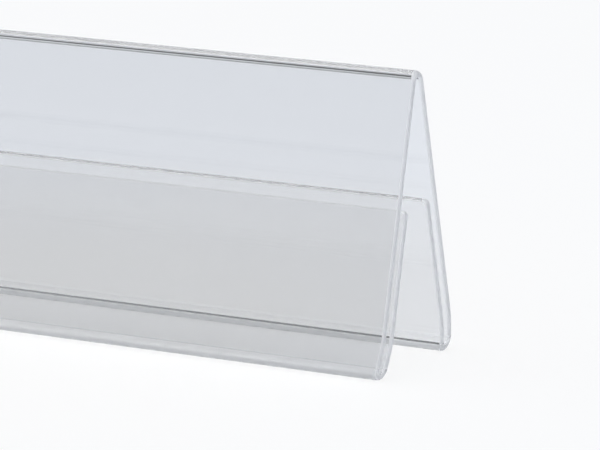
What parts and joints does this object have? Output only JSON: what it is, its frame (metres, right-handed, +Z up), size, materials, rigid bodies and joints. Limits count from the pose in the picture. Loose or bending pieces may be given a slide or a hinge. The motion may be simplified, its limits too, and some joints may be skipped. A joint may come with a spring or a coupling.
{
  "type": "table sign holder",
  "caption": "Clear tent-shaped table sign holder folded from one plastic sheet, with an open-ended card pocket behind each leaning panel.",
  "frame": {"origin": "on the table, midway between the two feet and midway along the ridge", "axes": "+X along the ridge, -Y towards the front panel, +Z up from the table"},
  "size_m": [0.21, 0.034, 0.0636],
  "materials": {
    "clear_sheet": "glossy clear sheet with polished faces, satin sawn ends and slightly hazy foot bends"
  },
  "bodies": {
    "back_leg": {"back_panel": "clear_sheet", "back_foot_bend": "clear_sheet", "ridge_bend": "clear_sheet"},
    "back_flap": {"back_pocket_flap": "clear_sheet"},
    "front_leg": {"front_panel": "clear_sheet", "front_foot_bend": "clear_sheet"},
    "front_flap": {"front_pocket_flap": "clear_sheet"}
  },
  "joints": [
    {"name": "ridge_flex", "type": "hinge", "parent": "back_leg", "child": "front_leg", "pos_m": [0, 0, 0.06123], "axis": [-1, 0, 0], "range_deg": [-3, 3], "stiffness_Nm_per_rad": 4.3, "deforming": ["ridge_bend"]},
    {"name": "front_pocket_flex", "type": "hinge", "parent": "front_leg", "child": "front_flap", "pos_m": [0, -0.01454, 0.0025], "axis": [-1, 0, 0], "range_deg": [0, 3], "stiffness_Nm_per_rad": 15, "deforming": ["front_foot_bend"]},
    {"name": "back_pocket_flex", "type": "hinge", "parent": "back_leg", "child": "back_flap", "pos_m": [0, 0.01454, 0.0025], "axis": [1, 0, 0], "range_deg": [0, 3], "stiffness_Nm_per_rad": 15, "deforming": ["back_foot_bend"]}
  ]
}
